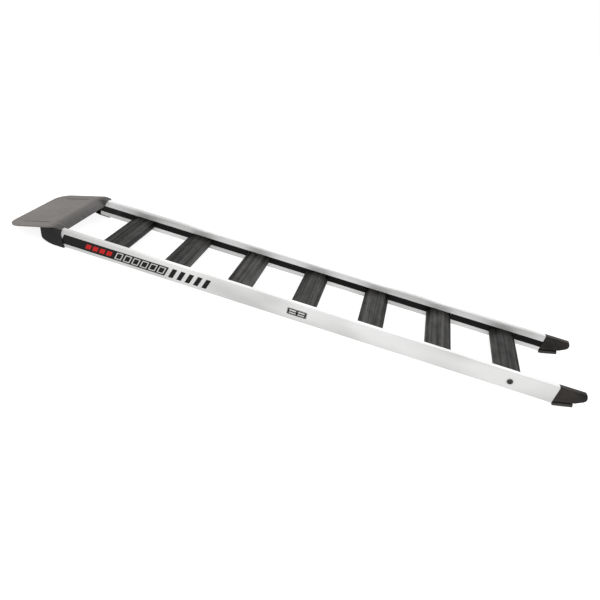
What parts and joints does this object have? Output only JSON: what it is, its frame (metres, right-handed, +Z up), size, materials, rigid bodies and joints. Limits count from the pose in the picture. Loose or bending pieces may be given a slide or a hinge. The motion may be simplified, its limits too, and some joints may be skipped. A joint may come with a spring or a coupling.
{
  "type": "pet and loading ramp",
  "caption": "Rigid ladder-type ramp with two channelled aluminium rails, open arched rungs, a moulded tailgate lip and rubber-padded feet.",
  "frame": {"origin": "middle of the ramp on the surface it lies on, at the lowest edge of the foot pads", "axes": "+X along the rails towards the feet, +Y across to the right rail, +Z up"},
  "size_m": [2.097, 0.329, 0.0793],
  "materials": {
    "rail_aluminium": "satin anodised extrusion",
    "rung_plastic": "ribbed, lightly glossy",
    "spacer_plastic": "smooth black extrusion",
    "lip_plastic": "fine moulded grain, warm dark grey",
    "bracket_plastic": "moulded, worn satin",
    "cap_plastic": "moulded, satin",
    "pad_rubber": "matt rubber",
    "black_steel": "black oxide",
    "decal_film": "printed film, dark band with plain slanted bars",
    "label_film": "printed film, plain bars in place of text"
  },
  "bodies": {
    "root": {"lip_plate": "lip_plastic", "rung_1": "rung_plastic", "rung_2": "rung_plastic", "rung_3": "rung_plastic", "rung_4": "rung_plastic", "rung_5": "rung_plastic", "rung_6": "rung_plastic", "rung_7": "rung_plastic", "left_rail": "rail_aluminium", "left_lip_bracket": "bracket_plastic", "left_foot_cap": "cap_plastic", "left_foot_pad": "pad_rubber", "left_decal": "decal_film", "left_spacer_1": "spacer_plastic", "left_spacer_2": "spacer_plastic", "left_spacer_3": "spacer_plastic", "left_spacer_4": "spacer_plastic", "left_spacer_5": "spacer_plastic", "left_spacer_6": "spacer_plastic", "left_spacer_7": "spacer_plastic", "left_spacer_8": "spacer_plastic", "right_rail": "rail_aluminium", "right_lip_bracket": "bracket_plastic", "right_foot_cap": "cap_plastic", "right_foot_pad": "pad_rubber", "right_decal": "decal_film", "right_spacer_1": "spacer_plastic", "right_spacer_2": "spacer_plastic", "right_spacer_3": "spacer_plastic", "right_spacer_4": "spacer_plastic", "right_spacer_5": "spacer_plastic", "right_spacer_6": "spacer_plastic", "right_spacer_7": "spacer_plastic", "right_spacer_8": "spacer_plastic", "rung_bolts": "black_steel", "bracket_screws": "black_steel", "cap_screws": "black_steel", "load_label": "label_film"}
  },
  "joints": []
}
